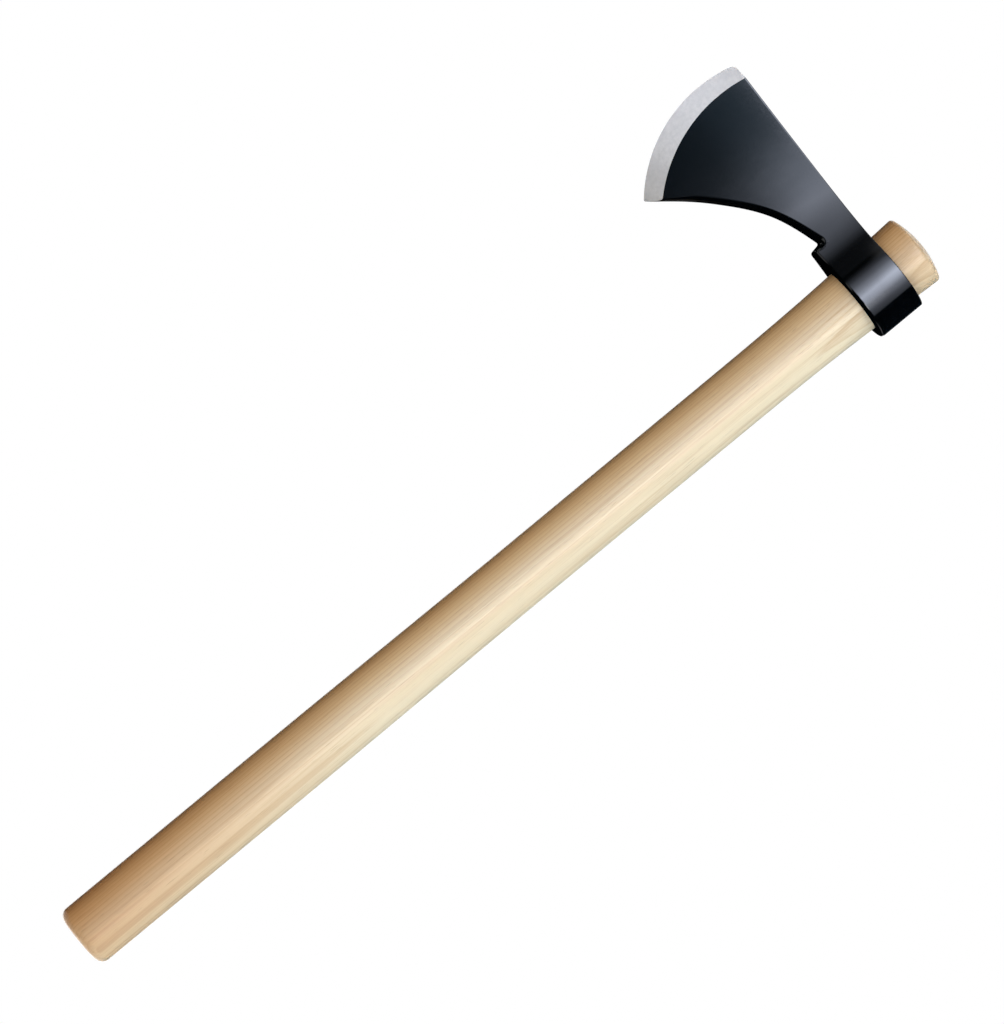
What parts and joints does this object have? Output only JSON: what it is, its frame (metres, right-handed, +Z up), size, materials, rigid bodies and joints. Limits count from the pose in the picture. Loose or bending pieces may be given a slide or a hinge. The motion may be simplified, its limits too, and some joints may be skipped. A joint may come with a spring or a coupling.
{
  "type": "slip-fit belt axe",
  "caption": "Belt axe with a fan-shaped forged blade whose round tapered eye slides over a straight wooden haft and is locked by a set screw.",
  "frame": {"origin": "centre of the flat butt end of the haft", "axes": "+Z up the haft towards the head, +X towards the cutting edge, +Y and -Y across the two cheeks, set screw in the -Y cheek"},
  "size_m": [0.1592, 0.047, 0.559],
  "materials": {
    "hickory": "pale hickory under clear lacquer",
    "black_paint": "gloss black paint, bare satin steel on the ground edge",
    "screw_steel": "black oxide"
  },
  "bodies": {
    "haft": {"haft": "hickory"},
    "head": {"axe_head": "black_paint"},
    "set_screw": {"set_screw": "screw_steel"}
  },
  "joints": [
    {"name": "head_slide", "type": "slide", "parent": "haft", "child": "head", "axis": [0, 0, -1], "range_m": [0, 0.56]},
    {"name": "set_screw_travel", "type": "slide", "parent": "head", "child": "set_screw", "axis": [0, -1, 0], "range_m": [0, 0.0045]}
  ]
}
